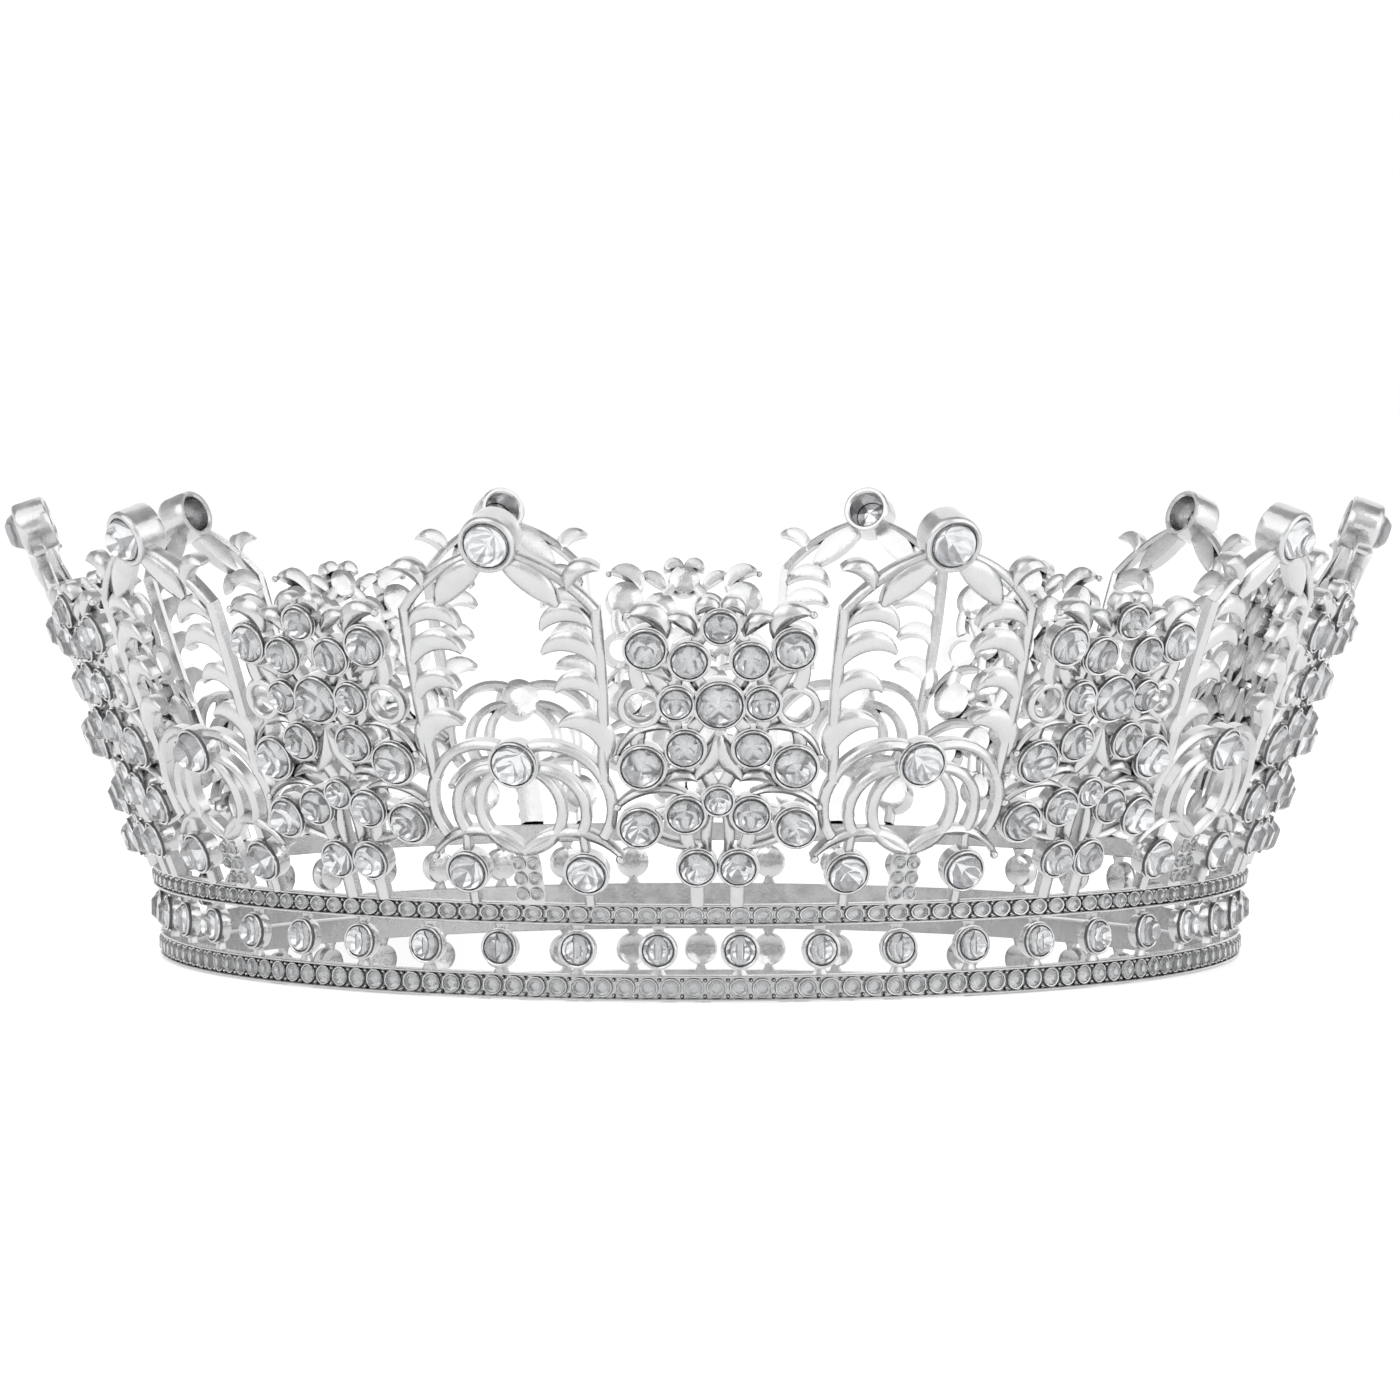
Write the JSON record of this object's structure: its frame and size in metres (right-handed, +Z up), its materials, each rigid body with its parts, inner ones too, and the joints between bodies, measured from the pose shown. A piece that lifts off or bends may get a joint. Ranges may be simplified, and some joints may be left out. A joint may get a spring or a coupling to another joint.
{
  "type": "bridal crown",
  "caption": "Full-round crown of silver openwork: two beaded rails with stones between, and a flared wall of scroll peaks and stone-set fans with a large stone at each tip.",
  "frame": {"origin": "centre of the crown's foot, on the surface that it stands on", "axes": "+Z up through the middle of the crown; -Y towards the front, at a fan's middle line; +X to the viewer's right"},
  "size_m": [0.1934, 0.1846, 0.0634],
  "materials": {
    "silver_metal": "bright silver-coloured plating over cast zinc alloy, polished on the outside and softer in the recesses",
    "crystal": "clear cut crystal with bright and dark facets"
  },
  "bodies": {
    "root": {"lower_rail": "silver_metal", "upper_rail": "silver_metal", "band_settings": "silver_metal", "peak_frame_01": "silver_metal", "peak_frame_02": "silver_metal", "peak_frame_03": "silver_metal", "peak_frame_04": "silver_metal", "peak_frame_05": "silver_metal", "peak_frame_06": "silver_metal", "peak_frame_07": "silver_metal", "peak_frame_08": "silver_metal", "peak_frame_09": "silver_metal", "peak_frame_10": "silver_metal", "fan_frame_01": "silver_metal", "fan_frame_02": "silver_metal", "fan_frame_03": "silver_metal", "fan_frame_04": "silver_metal", "fan_frame_05": "silver_metal", "fan_frame_06": "silver_metal", "fan_frame_07": "silver_metal", "fan_frame_08": "silver_metal", "fan_frame_09": "silver_metal", "fan_frame_10": "silver_metal", "tip_settings": "silver_metal", "lower_rail_beads": "crystal", "upper_rail_beads": "crystal", "band_stones": "crystal", "tip_stones": "crystal", "peak_stones": "crystal", "flank_stones": "crystal", "fan_stones_large": "crystal", "fan_stones_medium": "crystal", "fan_stones_small": "crystal", "stem_beads": "crystal"}
  },
  "joints": []
}
